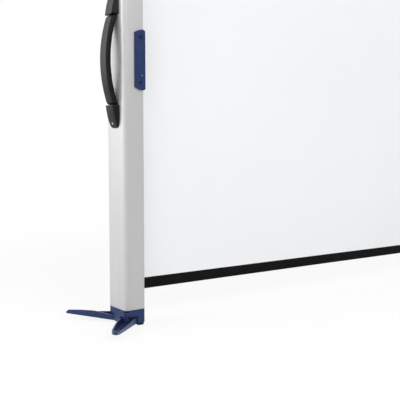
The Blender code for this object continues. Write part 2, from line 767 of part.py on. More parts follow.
def build_strap():
    """Bowed rubber grip that steps down to a thin tongue inside each boot."""
    grip = HANDLE_HALF_GRIP - GRIP_STEP
    tongue_end = HANDLE_REACH - TONGUE_SHORT
    tongue = (CASE_LEFT - STRAP_GAP, TONGUE_THICKNESS, TONGUE_WIDTH)
    loops = [strap_loop(-tongue_end, *tongue), strap_loop(-HANDLE_HALF_GRIP, *tongue)]
    for i in range(-GRIP_STEPS, GRIP_STEPS + 1):
        u = grip * i / GRIP_STEPS
        loops.append(strap_loop(u, CASE_LEFT - strap_gap(abs(u)), STRAP_THICKNESS, STRAP_WIDTH))
    loops += [strap_loop(HANDLE_HALF_GRIP, *tongue), strap_loop(tongue_end, *tongue)]
    return add("handle_strap", skin(loops), black(), 40)


def boot_loop(share, way):
    """Section of a boot at a share of its length: sides that lean in to a flat outer face, closing to a round toe."""
    near_toe = max(share - BOOT_TOE_START, 0.0) / (1 - BOOT_TOE_START)
    full = max(1 - near_toe ** 3, 0.0) ** (1 / 3)
    half = (BOOT_TOE_WIDTH + (BOOT_WIDTH - BOOT_TOE_WIDTH) * full) / 2
    tall = BOOT_HEIGHT - BOOT_FALL * share - BOOT_DIP * share ** 3
    z = MIDDLE + way * (HANDLE_HALF_GRIP + (HANDLE_REACH - HANDLE_HALF_GRIP) * share)
    flat = half * (1 - BOOT_LEAN)
    turn = min(BOOT_RIDGE, 0.4 * tall)
    back = turn / math.hypot(half - flat, tall)
    start = (flat + (half - flat) * back, tall * (1 - back))
    side = [(half, 0.0)]
    for i in range(RIDGE_STEPS + 1):
        t = i / RIDGE_STEPS
        y = (1 - t) ** 2 * start[0] + 2 * t * (1 - t) * flat + t ** 2 * (flat - turn)
        out = (1 - t) ** 2 * start[1] + (1 - (1 - t) ** 2) * tall
        side.append((y, out))
    outline = side + [(-y, out) for y, out in reversed(side)]
    return [(CASE_LEFT - CLEAR - out, HANDLE_Y + y, z) for y, out in outline]


def build_handle(parts):
    """Strap whose tongues are screwed to the case under two boots."""
    strap = build_strap()
    tongue_end = HANDLE_REACH - TONGUE_SHORT
    upright = Matrix(((-1, 0, 0, CASE_LEFT - CLEAR), (0, 0, 1, HANDLE_Y), (0, 1, 0, MIDDLE), (0, 0, 0, 1)))
    for way, where in ((-1, "lower"), (1, "upper")):
        loops = [boot_loop(i / BOOT_STEPS, way) for i in range(BOOT_STEPS + 1)]
        boot = add(f"handle_boot_{where}", skin(loops), black(), 40)
        inner_half = TONGUE_WIDTH / 2 + CLEAR
        roof = STRAP_GAP + TONGUE_THICKNESS
        pocket = [
            (-OVERCUT, way * (HANDLE_HALF_GRIP - OVERCUT)),
            (roof, way * (HANDLE_HALF_GRIP - OVERCUT)),
            (roof, way * (tongue_end + CLEAR)),
            (-OVERCUT, way * (tongue_end + CLEAR)),
        ]
        cut(boot, prism(pocket, -inner_half, inner_half, upright))
        sink = SCREW_HEAD_HEIGHT + 2 * CLEAR
        height = MIDDLE + way * (HANDLE_HALF_GRIP + tongue_end) / 2
        point = (CASE_LEFT - STRAP_GAP - TONGUE_THICKNESS, HANDLE_Y, height)
        outward = (-1, 0, 0)
        screw(f"handle_screw_{where}", point, outward, sink)
        screw_recess(strap, point, outward, sink)
        screw_hole(strap, point, outward, SCREW_LENGTH + sink)
        screw_hole(parts["case"], point, outward, SCREW_LENGTH + sink)


# Catch and latch


def plate_outline(far, near):
    """Front view of the catch or latch plate from its far edge to the one by the gap; X and height."""
    half = CATCH_LENGTH / 2
    lowest = far + (near - far) * PLATE_LOWEST
    lower = []
    for i in range(PLATE_STEPS + 1):
        x = far + (near - far) * i / PLATE_STEPS
        rise = END_RISE_FAR * (abs(lowest - x) / abs(lowest - far)) ** 1.6
        if i > PLATE_STEPS * PLATE_LOWEST:
            rise = END_RISE_NEAR * ((x - lowest) / (near - lowest)) ** 2
        lower.append((x, -half + rise))
    return lower + [(x, -z) for x, z in reversed(lower)]


def build_catch(parts):
    """Blue catch round the front corner of the case, with a stud for the latch."""
    upright = Matrix(((1, 0, 0, 0), (0, 0, -1, 0), (0, 1, 0, MIDDLE), (0, 0, 0, 1)))
    outline = plate_outline(CASE_RIGHT - CATCH_WIDTH, CASE_RIGHT + CATCH_PROUD)
    depth = CATCH_THICKNESS + CATCH_RETURN
    plate = add("catch_plate", prism(outline, -CATCH_FRONT - depth, -CATCH_FRONT, upright), blue(), 35)
    cut(plate, prism(post_outline(-1, -CLEAR), MIDDLE - CATCH_LENGTH, MIDDLE + CATCH_LENGTH))
    stud_x = CASE_RIGHT - STUD_INSET
    outward = (0, -1, 0)
    base = (stud_x, CATCH_FRONT, STUD_Z)
    stud_root = CATCH_THICKNESS * 0.6
    stud = [
        (STUD_RADIUS * 0.7, -stud_root),
        (STUD_RADIUS * 0.7, CLEAR),
        (STUD_RADIUS, CLEAR),
        (STUD_RADIUS, STUD_HEIGHT - STUD_RADIUS / 3),
        (STUD_RADIUS * 0.7, STUD_HEIGHT),
    ]
    add("catch_stud", turned(stud, SMALL_ROUND, facing(base, outward)), blue(), 40)
    cut(plate, rod(STUD_RADIUS * 0.7 + CLEAR, -stud_root - CLEAR, OVERCUT, SMALL_ROUND, facing(base, outward)))
    add_plate_screws("catch", plate, parts["case"], stud_x)


def add_plate_screws(word, plate, post, x):
    sink = CATCH_THICKNESS * 0.55
    for way, where in ((-1, "lower"), (1, "upper")):
        point = (x, CATCH_FRONT, MIDDLE + way * CATCH_SCREW_OFFSET)
        outward = (0, -1, 0)
        screw(f"{word}_screw_{where}", point, outward, sink, dark_steel)
        screw_recess(plate, point, outward, sink)
        screw_hole(plate, point, outward, SCREW_LENGTH + sink)
        screw_hole(post, point, outward, SCREW_LENGTH + sink)


def build_latch(parts):
    """Blue plate on the pull post and a hook lever that swings onto the stud."""
    upright = Matrix(((1, 0, 0, 0), (0, 0, -1, 0), (0, 1, 0, MIDDLE), (0, 0, 0, 1)))
    outline = plate_outline(POST_LEFT + CATCH_WIDTH + INNER_RADIUS, POST_LEFT + INNER_RADIUS)
    plate = add("latch_plate", prism(outline, -FRONT + CLEAR, -CATCH_FRONT, upright), blue(), 35)
    pivot_x = POST_LEFT + LEVER_PIVOT_INSET
    add_plate_screws("latch", plate, parts["post"], pivot_x)

    outward = (0, -1, 0)
    base = Vector((pivot_x, CATCH_FRONT, STUD_Z))
    washer = CLEAR * 2
    head = LEVER_THICKNESS + washer + CLEAR
    root = CATCH_THICKNESS * 0.6
    pivot = [
        (PIVOT_RADIUS, -root),
        (PIVOT_RADIUS, head),
        (PIVOT_RADIUS * 1.7, head),
        (PIVOT_RADIUS * 1.7, head + PIVOT_RADIUS / 2),
        (PIVOT_RADIUS * 1.2, head + PIVOT_RADIUS),
    ]
    add("latch_pivot", turned(pivot, SMALL_ROUND, facing(base, outward)), steel(), 40)
    cut(plate, rod(PIVOT_RADIUS + CLEAR, -root - CLEAR, OVERCUT, SMALL_ROUND, facing(base, outward)))

    # The lever hangs from its pivot; its hook is the notch near the free end
    throw = LEVER_PIVOT_INSET + CLOSED_GAP + STUD_INSET
    half = LEVER_WIDTH / 2
    notch = STUD_RADIUS + 2 * RUN
    body = arc(0, 0, half, 0, 180, 8) + arc(0, -throw - LEVER_TAIL + half, half, 180, 360, 8)
    lever = add("latch_lever", prism(body, 0.0, LEVER_THICKNESS), blue(), 35)
    cut(lever, rod(PIVOT_RADIUS + RUN / 2, -OVERCUT, LEVER_THICKNESS + OVERCUT, SMALL_ROUND))
    mouth = [(-LEVER_WIDTH, -throw - notch), (-LEVER_WIDTH, -throw + notch)]
    hook = arc(0, -throw, notch, 90, -90, 6) + mouth
    cut(lever, prism(hook, -OVERCUT, LEVER_THICKNESS + OVERCUT))
    place = at(pivot_x, CATCH_FRONT - washer, STUD_Z) @ Matrix.Rotation(math.radians(90), 4, "X")
    for piece in [lever] + [m.object for m in lever.modifiers]:
        piece.matrix_world = place


def main():
    clear_scene()
    parts = build_posts()
    build_roller(parts)
    build_sheet()
    build_handle(parts)
    build_catch(parts)
    build_latch(parts)


main()
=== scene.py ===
"""Looks of the tabletop projection screen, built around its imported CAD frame."""
import json
import math

import bmesh
import bpy
from mathutils import Matrix, Vector

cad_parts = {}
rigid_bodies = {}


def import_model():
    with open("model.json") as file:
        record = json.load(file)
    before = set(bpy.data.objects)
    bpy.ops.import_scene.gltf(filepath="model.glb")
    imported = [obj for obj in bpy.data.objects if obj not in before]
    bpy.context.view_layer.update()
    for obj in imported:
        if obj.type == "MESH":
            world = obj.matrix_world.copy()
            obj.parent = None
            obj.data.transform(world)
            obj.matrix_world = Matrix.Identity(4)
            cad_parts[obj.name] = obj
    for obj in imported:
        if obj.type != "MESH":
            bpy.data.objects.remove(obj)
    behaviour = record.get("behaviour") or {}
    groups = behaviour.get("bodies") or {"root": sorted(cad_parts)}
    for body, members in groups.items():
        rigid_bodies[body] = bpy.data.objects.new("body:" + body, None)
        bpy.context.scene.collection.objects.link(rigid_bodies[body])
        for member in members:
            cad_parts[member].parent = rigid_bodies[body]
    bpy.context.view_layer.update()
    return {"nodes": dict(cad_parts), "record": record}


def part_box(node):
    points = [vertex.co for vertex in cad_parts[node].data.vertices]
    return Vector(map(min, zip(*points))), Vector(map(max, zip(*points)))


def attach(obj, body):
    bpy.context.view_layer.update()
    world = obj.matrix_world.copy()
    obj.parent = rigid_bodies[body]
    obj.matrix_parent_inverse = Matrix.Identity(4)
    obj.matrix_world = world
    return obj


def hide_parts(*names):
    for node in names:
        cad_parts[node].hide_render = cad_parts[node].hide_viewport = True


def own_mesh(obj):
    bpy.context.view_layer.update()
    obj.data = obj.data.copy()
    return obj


for leftover in list(bpy.data.objects):
    bpy.data.objects.remove(leftover, do_unlink=True)

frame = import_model()
NODES = frame["nodes"]
BODY_OF = {n: b for b, names in frame["record"]["behaviour"]["bodies"].items() for n in names}
SLOT_OF = {s["node"]: s["material_slot"] for s in frame["record"]["subparts"]}

# Sizes shared with the CAD, in metres
CASE_LEFT, CASE_RIGHT = -0.548, -0.508
POST_LEFT, POST_RIGHT = 0.508, 0.548
CASE_X = -0.528
FRONT, BACK = -0.03075, 0.03075
FOOT_TOP, POST_TOP = 0.0285, 0.8875
MIDDLE = 0.458
WALL = 0.002
CLEAR = 0.0003
OUTER_RADIUS, INNER_RADIUS = 0.008, 0.004
SLOT_HALF = 0.0027
BORDER = 0.020
SHEET_BOTTOM, SHEET_TOP = 0.057, 0.859
ROLLER_Y = 0.0116
HALF_GRIP, HANDLE_REACH = 0.076, 0.115
HANDLE_Y = -0.0015
STRAP_WIDTH, STRAP_THICKNESS = 0.025, 0.0095
STRAP_STAND, STRAP_GAP = 0.0138, 0.0006
GRIP_STEP, TONGUE_SHORT = 0.0015, 0.019
TONGUE_WIDTH, TONGUE_THICKNESS = 0.016, 0.003
BOOT_WIDTH, BOOT_TOE_WIDTH = 0.031, 0.009
BOOT_TOE_START = 0.55    # share of the length where the sides begin to close in
BOOT_HEIGHT = 0.0122    # at the mouth
BOOT_FALL, BOOT_DIP = 0.0060, 0.0048    # height lost evenly, and near the toe
BOOT_LEAN = 0.16    # how far each side leans in, as a share of the half width
BOOT_RIDGE = 0.0022    # rounding where a side meets the outer face


# Materials

NOISE_LOW, NOISE_HIGH = 0.3, 0.7    # the middle of a noise, where most of it lies
DRIFT_DETAIL, GRAIN_DETAIL = 4.0, 2.0
NOISE_ROUGHNESS = 0.5


def new_material(name):
    made = bpy.data.materials.new(name)
    made.use_nodes = True
    nodes = made.node_tree.nodes
    return made, nodes, made.node_tree.links, nodes["Principled BSDF"]


def noise_at(nodes, links, scale, stretch, detail):
    """Noise in the piece's own metres; stretch below one draws it out along an axis."""
    place = nodes.new("ShaderNodeTexCoord")
    fit = nodes.new("ShaderNodeMapping")
    fit.inputs["Scale"].default_value = stretch
    links.new(place.outputs["Object"], fit.inputs["Vector"])
    made = nodes.new("ShaderNodeTexNoise")
    made.inputs["Scale"].default_value = scale
    made.inputs["Detail"].default_value = detail
    made.inputs["Roughness"].default_value = NOISE_ROUGHNESS
    links.new(fit.outputs["Vector"], made.inputs["Vector"])
    return made.outputs["Fac"]


def level(nodes, links, value, low, high, start=0.0, end=1.0):
    """Map a value from start and end onto two levels, each a number or another node's output."""
    made = nodes.new("ShaderNodeMapRange")
    made.inputs["From Min"].default_value = start
    made.inputs["From Max"].default_value = end
    links.new(value, made.inputs["Value"])
    for socket, bound in (("To Min", low), ("To Max", high)):
        if isinstance(bound, float):
            made.inputs[socket].default_value = bound
        else:
            links.new(bound, made.inputs[socket])
    return made.outputs["Result"]


def tones(nodes, links, value, dark, light):
    """Two colours mixed by the middle of a noise."""
    ramp = nodes.new("ShaderNodeValToRGB")
    ends = ramp.color_ramp.elements
    ends[0].position, ends[1].position = NOISE_LOW, NOISE_HIGH
    ends[0].color, ends[1].color = (*dark, 1.0), (*light, 1.0)
    links.new(value, ramp.inputs["Fac"])
    return ramp.outputs["Color"]


def bumped(nodes, links, shader, height, distance, strength):
    made = nodes.new("ShaderNodeBump")
    made.inputs["Distance"].default_value = distance
    made.inputs["Strength"].default_value = strength
    links.new(height, made.inputs["Height"])
    links.new(made.outputs["Normal"], shader.inputs["Normal"])


def finish(name, dark, light, rough, metallic=0.0, broad=9.0, grain=900.0, stretch=(1, 1, 1),
           bump=0.1, depth=0.0002, **sockets):
    """A surface whose colour drifts broadly and whose grain moves its gloss and its bump."""
    made, nodes, links, shader = new_material(name)
    shader.inputs["Metallic"].default_value = metallic
    for socket, value in sockets.items():
        shader.inputs[socket.replace("_", " ")].default_value = value
    drift = noise_at(nodes, links, broad, stretch, DRIFT_DETAIL)
    fine = noise_at(nodes, links, grain, stretch, GRAIN_DETAIL)
    gloss = level(nodes, links, fine, *rough, NOISE_LOW, NOISE_HIGH)
    links.new(tones(nodes, links, drift, dark, light), shader.inputs["Base Color"])
    links.new(gloss, shader.inputs["Roughness"])
    bumped(nodes, links, shader, fine, depth, bump)
    return made


ALUMINIUM = finish(
    "satin_aluminium", (0.495, 0.492, 0.498), (0.52, 0.517, 0.523), (0.42, 0.48), metallic=0.35,
    broad=60.0, grain=2600.0, stretch=(1, 1, 0.004), bump=0.10, depth=0.00004)
BLUE = finish(
    "blue_moulded", (0.012, 0.028, 0.097), (0.016, 0.035, 0.114), (0.36, 0.44),
    broad=40.0, grain=2200.0, bump=0.03, depth=0.0001, Specular_IOR_Level=0.26)
# a paler copy of the blue plastic, put on rims and outer edges as a painted highlight
RIM_HIGHLIGHT_BLUE = finish(
    "blue_painted_rim_highlight", (0.085, 0.11, 0.19), (0.11, 0.14, 0.23), (0.26, 0.34),
    broad=60.0, grain=2200.0, bump=0.03, depth=0.0001)
# a lighter copy of the blue plastic for the catch stud: a painted highlight
STUD_HIGHLIGHT_BLUE = finish(
    "blue_stud_painted_highlight", (0.05, 0.08, 0.22), (0.06, 0.095, 0.25), (0.2, 0.28),
    broad=40.0, grain=2200.0, bump=0.05, depth=0.0001)
RUBBER = finish(
    "black_rubber", (0.0030, 0.0040, 0.0050), (0.0050, 0.0062, 0.0075), (0.34, 0.42),
    broad=60.0, grain=1500.0, bump=0.18, depth=0.0002, Specular_IOR_Level=0.17)
PAD_RUBBER = finish(
    "pad_rubber", (0.010, 0.010, 0.011), (0.018, 0.018, 0.019), (0.6, 0.75),
    broad=90.0, grain=1800.0, bump=0.25, depth=0.0002, Specular_IOR_Level=0.2)
STEEL = finish(
    "zinc_steel", (0.50, 0.50, 0.51), (0.60, 0.60, 0.61), (0.24, 0.36), metallic=1.0,
    broad=120.0, grain=3000.0, bump=0.08, depth=0.00005)
BLACK_STEEL = finish(
    "black_steel", (0.010, 0.010, 0.011), (0.018, 0.018, 0.019), (0.35, 0.5), metallic=0.6,
    broad=120.0, grain=3000.0, bump=0.08, depth=0.00005)
NYLON = finish(
    "pale_nylon", (0.64, 0.63, 0.58), (0.72, 0.71, 0.66), (0.42, 0.55),
    broad=40.0, grain=1500.0)
FELT = finish(
    "grey_felt", (0.030, 0.030, 0.031), (0.075, 0.075, 0.077), (0.9, 1.0),
    broad=900.0, grain=2600.0, bump=0.6, depth=0.0006)
WHITE = finish(
    "white_projection_cloth", (0.815, 0.823, 0.835), (0.835, 0.842, 0.852), (0.72, 0.86),
    broad=3.0, grain=2400.0, bump=0.14, depth=0.0001)
BLACK_CLOTH = finish(
    "black_border_cloth", (0.0042, 0.0046, 0.0046), (0.0066, 0.0071, 0.0071), (0.62, 0.8),
    broad=30.0, grain=2400.0, bump=0.3, depth=0.00015, Specular_IOR_Level=0.06)
MATERIAL_OF_SLOT = {
    "satin_aluminium": ALUMINIUM,
    "blue_plastic": BLUE,
    "black_rubber": RUBBER,
    "white_sheet": WHITE,
    "grey_felt": FELT,
    "zinc_steel": STEEL,
    "black_steel": BLACK_STEEL,
    "pale_nylon": NYLON,
}


# Mesh helpers

WELD = 2e-6
FLAT_ANGLE = 1.5    # degrees between faces that count as one flat
EDGE_ANGLE = 32.0    # degrees from which an edge is rounded
RIM_SLOPE, RIM_SHARE = 0.3, 0.3    # a rim faces up and is bounded by outer edges; rims and outer edges get a paler blue, a painted highlight


def add(name, bm, *materials):
    bmesh.ops.recalc_face_normals(bm, faces=bm.faces)
    mesh = bpy.data.meshes.new(name)
    bm.to_mesh(mesh)
    bm.free()
    made = bpy.data.objects.new(name, mesh)
    bpy.context.scene.collection.objects.link(made)
    for m in materials:
        mesh.materials.append(m)
    return made


def smooth(obj, angle):
    """Smooth shading, with edges sharp from an angle in degrees."""
    obj.data.shade_smooth()
    obj.data.set_sharp_from_angle(angle=math.radians(angle))
    return obj


def soften(obj, width, segments):
    """Rounded edges that keep the flats flat."""
    edge = obj.modifiers.new("round", "BEVEL")
    edge.width = width
    edge.segments = segments
    edge.limit_method = "ANGLE"
    edge.angle_limit = math.radians(EDGE_ANGLE)
    edge.harden_normals = True
    return edge


def stands_for(piece, node):
    """The piece takes the place of a CAD node, on its body."""
    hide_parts(node)
    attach(piece, BODY_OF[node])


def mark_highlit_rims(bm):
    """Weight the outer edges for the bevel, and give rims the second material, a paler blue that
    paints a highlight on them.
    """
    weight = bm.edges.layers.float.new("bevel_weight_edge")
    sharp = math.radians(EDGE_ANGLE)
    outer = {e for e in bm.edges if e.is_convex and e.calc_face_angle() > sharp}
    for edge in outer:
        edge[weight] = 1.0
    for face in bm.faces:
        bare = sum(e.calc_length() for e in face.edges if e in outer)
        if face.normal.z > RIM_SLOPE and bare > RIM_SHARE * face.calc_perimeter():
            face.material_index = 1


def dress(node, width, segments=3, material=None, rim_highlight=None):
    """A copy of a rigid CAD node with merged flats and rounded edges; the optional second material
    paints a highlight on its outer edges and rims in a paler blue.
    """
    bm = bmesh.new()
    bm.from_mesh(NODES[node].data)
    bmesh.ops.remove_doubles(bm, verts=bm.verts, dist=WELD)
    flat = math.radians(FLAT_ANGLE)
    bmesh.ops.dissolve_limit(bm, angle_limit=flat, verts=bm.verts, edges=bm.edges)
    bmesh.ops.recalc_face_normals(bm, faces=bm.faces)
    if rim_highlight:
        mark_highlit_rims(bm)
    made = add(node + "_shown", bm, material or MATERIAL_OF_SLOT[SLOT_OF[node]])
    smooth(made, EDGE_ANGLE)
    edge = soften(made, width, segments)
    # the paler second material on rims and bevelled outer edges paints a highlight
    if rim_highlight:
        made.data.materials.append(rim_highlight)
        edge.limit_method = "WEIGHT"
        edge.material = 1
    stands_for(made, node)


def arc(cx, cy, radius, start, end, steps):
    turn = [math.radians(start + (end - start) * i / steps) for i in range(steps + 1)]
    return [(cx + radius * math.cos(a), cy + radius * math.sin(a)) for a in turn]


def loft(rings, closed_ends=True):
    """Skin through rings of equal point counts, each a closed loop."""
    bm = bmesh.new()
    loops = [[bm.verts.new(p) for p in ring] for ring in rings]
    for low, high in zip(loops, loops[1:]):
        for i in range(len(low)):
            j = (i + 1) % len(low)
            bm.faces.new((low[i], low[j], high[j], high[i]))
    if closed_ends:
        bm.faces.new(loops[0])
        bm.faces.new(loops[-1])
    return bm


# Camera, light and stage

LENS, SENSOR = 58.5, 36.0
CAMERA_SPOT = (CASE_X - 0.5584, -0.9996, 0.2969)
CAMERA_DOWN, CAMERA_TURN = 3.96, -35.71    # degrees
PURE_WHITE = (1.0, 1.0, 1.0, 1.0)
AMBIENT = 0.25
FRONT_LEVEL, DIM_FROM, DIM_TO = 0.10, -0.85, 0.0    # the studio is dim on the viewer's side
FLOOR_REACH = 14.0
FLOOR_COLOUR, FLOOR_ROUGHNESS = (0.93, 0.93, 0.93, 1.0), 0.9
FLOOR_GLOW = 0.86
FADE_START, FADE_END = 0.75, 1.6    # where the floor passes into the white background
LAMPS = (    # name, place, aim, size and power
    ("key_lamp", (-0.1, -3.2, 2.4), (0.0, 0.0, 0.45), (2.4, 1.8), 80.0),
    ("side_lamp", (-2.65, 1.4, 1.2), (-0.53, 0.0, 0.35), (2.8, 2.0), 55.0),
    ("edge_lamp", (-2.6, -1.3, 0.9), (-0.53, 0.0, 0.35), (1.8, 1.8), 13.0),
    ("top_lamp", (0.0, 0.4, 3.4), (0.0, 0.0, 0.4), (2.6, 2.0), 24.0),
    ("right_lamp", (3.0, 0.7, 1.4), (0.53, 0.0, 0.4), (2.4, 2.0), 26.0),
)


def joined(nodes, links, operation, first, second):
    """A math node fed by two other nodes' outputs."""
    made = nodes.new("ShaderNodeMath")
    made.operation = operation
    links.new(first, made.inputs[0])
    links.new(second, made.inputs[1])
    return made.outputs[0]


def set_camera(scene):
    lens = bpy.data.cameras.new("camera")
    lens.lens = LENS
    lens.sensor_width = SENSOR
    camera = bpy.data.objects.new("camera", lens)
    camera.location = CAMERA_SPOT
    camera.rotation_euler = (math.radians(90 - CAMERA_DOWN), 0.0, math.radians(CAMERA_TURN))
    scene.collection.objects.link(camera)
    scene.camera = camera


def set_world(scene):
    """White behind the object, a graded room in reflections, and a plain level of light."""
    world = bpy.data.worlds.new("studio")
    world.use_nodes = True
    scene.world = world
    nodes, links = world.node_tree.nodes, world.node_tree.links
    sky = nodes["Background"]
    sky.inputs["Color"].default_value = PURE_WHITE
    rays = nodes.new("ShaderNodeLightPath").outputs
    mirrored = joined(
        nodes, links, "MAXIMUM", rays["Is Glossy Ray"], rays["Is Transmission Ray"])
    view = nodes.new("ShaderNodeTexCoord")
    split = nodes.new("ShaderNodeSeparateXYZ")
    links.new(view.outputs["Generated"], split.inputs["Vector"])
    room = level(nodes, links, split.outputs["Y"], FRONT_LEVEL, 1.0, DIM_FROM, DIM_TO)
    seen = level(nodes, links, mirrored, AMBIENT, room)
    shown = level(nodes, links, rays["Is Camera Ray"], seen, 1.0)
    links.new(shown, sky.inputs["Strength"])


def set_floor():
    """A pale floor that keeps the shadow near the object and fades to white away from it."""
    bm = bmesh.new()
    corners = ((-1, -1), (1, -1), (1, 1), (-1, 1))
    bm.faces.new([bm.verts.new((FLOOR_REACH * x, FLOOR_REACH * y, 0.0)) for x, y in corners])
    pale, nodes, links, shader = new_material("pale_floor")
    shader.inputs["Base Color"].default_value = FLOOR_COLOUR
    shader.inputs["Roughness"].default_value = FLOOR_ROUGHNESS
    rays = nodes.new("ShaderNodeLightPath").outputs
    place = nodes.new("ShaderNodeTexCoord")
    away = nodes.new("ShaderNodeVectorMath")
    away.operation = "LENGTH"
    links.new(place.outputs["Object"], away.inputs[0])
    fade = level(nodes, links, away.outputs["Value"], FLOOR_GLOW, 1.0, FADE_START, FADE_END)
    seen = joined(nodes, links, "MAXIMUM", rays["Is Camera Ray"], rays["Is Glossy Ray"])
    share = joined(nodes, links, "MULTIPLY", seen, fade)
    glow = nodes.new("ShaderNodeEmission")
    glow.inputs["Color"].default_value = PURE_WHITE
    mix = nodes.new("ShaderNodeMixShader")
    links.new(share, mix.inputs["Fac"])
    links.new(shader.outputs["BSDF"], mix.inputs[1])
    links.new(glow.outputs["Emission"], mix.inputs[2])
    links.new(mix.outputs["Shader"], nodes["Material Output"].inputs["Surface"])
    floor = add("floor", bm, pale)


def set_lamps(scene):
    for name, place, aim, size, power in LAMPS:
        lamp = bpy.data.lights.new(name, "AREA")
        lamp.shape = "RECTANGLE"
        lamp.size, lamp.size_y = size
        lamp.energy = power
        holder = bpy.data.objects.new(name, lamp)
        holder.location = place
        way = Vector(aim) - Vector(place)
        holder.rotation_euler = way.to_track_quat("-Z", "Y").to_euler()
        scene.collection.objects.link(holder)


def set_stage():
    scene = bpy.context.scene
    scene.view_settings.view_transform = "Standard"
    set_camera(scene)
    set_world(scene)
    set_floor()
    set_lamps(scene)


# Posts

POST_CHAMFER = 0.0003
LEAST_RADIUS = 0.0008
CORNER_STEPS = 14
SLOT_OVERCUT = 0.002
TOOL_HEIGHT = 2.0    # more than any post
POST_WELD = 1e-7
POST_SHARP = 30.0    # degrees


def post_ring(x0, x1, left, right, inset, z):
    """Rounded post section at a depth inside its skin; left and right are corner radii."""
    a = max(left - inset, LEAST_RADIUS)
    b = max(right - inset, LEAST_RADIUS)
    x0, x1, y0, y1 = x0 + inset, x1 - inset, FRONT + inset, BACK - inset
    outline = (
        arc(x1 - b, y0 + b, b, -90, 0, CORNER_STEPS)
        + arc(x1 - b, y1 - b, b, 0, 90, CORNER_STEPS)
        + arc(x0 + a, y1 - a, a, 90, 180, CORNER_STEPS)
        + arc(x0 + a, y0 + a, a, 180, 270, CORNER_STEPS)
    )
    return [(x, y, z) for x, y in outline]


def build_post(word, x0, x1, left, right, slot_x):
    """Extruded tube with a fine edge at its ends and a slot for the sheet."""
    low, high = FOOT_TOP + CLEAR, POST_TOP - CLEAR
    stations = (
        (WALL, low),
        (POST_CHAMFER, low),
        (0.0, low + POST_CHAMFER),
        (0.0, high - POST_CHAMFER),
        (POST_CHAMFER, high),
        (WALL, high),
    )
    rings = [post_ring(x0, x1, left, right, inset, z) for inset, z in stations]
    bm = loft(rings + [rings[0]], closed_ends=False)
    bmesh.ops.remove_doubles(bm, verts=bm.verts, dist=POST_WELD)
    made = add(word + "_extrusion_shown", bm, ALUMINIUM)
    tool_bm = bmesh.new()
    bmesh.ops.create_cube(tool_bm, size=1.0)
    tool_size = (2 * (WALL + SLOT_OVERCUT), 2 * SLOT_HALF, TOOL_HEIGHT, 1.0)
    tool_bm.transform(Matrix.Translation((slot_x, 0.0, MIDDLE)) @ Matrix.Diagonal(tool_size))
    tool = add(word + "_slot_tool", tool_bm)
    opening = made.modifiers.new("slot", "BOOLEAN")
    opening.solver = "EXACT"
    opening.object = tool
    bpy.context.view_layer.update()
    graph = bpy.context.evaluated_depsgraph_get()
    cut = bpy.data.meshes.new_from_object(made.evaluated_get(graph))
    made.modifiers.clear()
    made.data = cut
    bpy.data.objects.remove(tool, do_unlink=True)
    smooth(made, POST_SHARP)
    stands_for(made, word + "_extrusion")


# Sheet, wound cloth and felts

CLOTH_THICKNESS = 0.0004
COAT = 0.00006    # the black bands stand this proud of the white
EDGE_ROW = 0.0008    # extra rows of points this far inside a band's edges
SHEET_COLUMNS, SHEET_ROWS = 96, 60
BELLY, BELLY_HOLD = 0.0009, 1.5
BELLY_WAVES = ((1.0, 2.2, 1.1), (0.5, 5.0, -2.0))    # height, half waves along, and lean with height
TOUCH = 1e-9
WRAP_TURNS, WRAP_STEPS = 2.4, 96
WRAP_INNER, WRAP_OUTER = 0.01035, 0.01105
WRAP_THICKNESS = 0.00012
FELT_ROWS, FELT_POINTS = 260, 24
FELT_FIT, SHAG = 0.96, 0.10
SHAG_ROW, SHAG_POINT = 12.9, 7.7    # radians from one row or point to the next
SHAG_MIX, SHAG_SWIRL = 3.1, 5.3    # a second wave that breaks up the first
SHEET_SHARP, WRAP_SHARP, FELT_SHARP = 50.0, 40.0, 60.0    # degrees


def sheet_lift(x, z):
    """The slight belly of a sheet held at its two upright edges."""
    run = (x - CASE_RIGHT) / (POST_LEFT - CASE_RIGHT)
    if run <= 0.0 or run >= 1.0:
        return 0.0
    rise = (z - SHEET_BOTTOM) / (SHEET_TOP - SHEET_BOTTOM)
    hold = math.sin(math.pi * run) ** BELLY_HOLD
    waves = sum(a * math.sin(f * math.pi * run + lean * rise) for a, f, lean in BELLY_WAVES)
    return BELLY * hold * waves


def build_sheet():
    """White cloth with black bands above and below and a black back."""
    low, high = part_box("screen_fabric")
    length = high.x - low.x
    xs = [low.x + length * i / SHEET_COLUMNS for i in range(SHEET_COLUMNS + 1)]
    band_top, band_low = SHEET_BOTTOM + BORDER, SHEET_TOP - BORDER
    lower = [SHEET_BOTTOM, SHEET_BOTTOM + EDGE_ROW, band_top - EDGE_ROW, band_top]
    upper = [band_low, band_low + EDGE_ROW, SHEET_TOP - EDGE_ROW, SHEET_TOP]
    inner = [band_top + (band_low - band_top) * i / SHEET_ROWS for i in range(1, SHEET_ROWS)]
    zs = lower + inner + upper
    bm = bmesh.new()

    def side(way):
        rows = []
        for z in zs:
            coat = COAT if z <= band_top or z >= band_low else 0.0
            out = way * (CLOTH_THICKNESS / 2 + coat)
            rows.append([bm.verts.new((x, sheet_lift(x, z) + out, z)) for x in xs])
        return rows

    def black(*corners):
        bm.faces.new(corners).material_index = 1

    front, back = side(-1.0), side(1.0)
    columns, rows = range(len(xs) - 1), range(len(zs) - 1)
    for k in rows:
        f, g, b, c = front[k], front[k + 1], back[k], back[k + 1]
        banded = zs[k + 1] <= band_top + TOUCH or zs[k] >= band_low - TOUCH
        for i in columns:
            near = bm.faces.new((f[i], f[i + 1], g[i + 1], g[i]))
            near.material_index = 1 if banded else 0
            black(b[i], c[i], c[i + 1], b[i + 1])
    for i in columns:
        for f, b in ((front[0], back[0]), (front[-1], back[-1])):
            black(f[i], f[i + 1], b[i + 1], b[i])
    for k in rows:
        for i in (0, len(xs) - 1):
            black(front[k][i], front[k + 1][i], back[k + 1][i], back[k][i])
    made = smooth(add("screen_sheet", bm, WHITE, BLACK_CLOTH), SHEET_SHARP)
    stands_for(made, "screen_fabric")
    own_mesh(made)


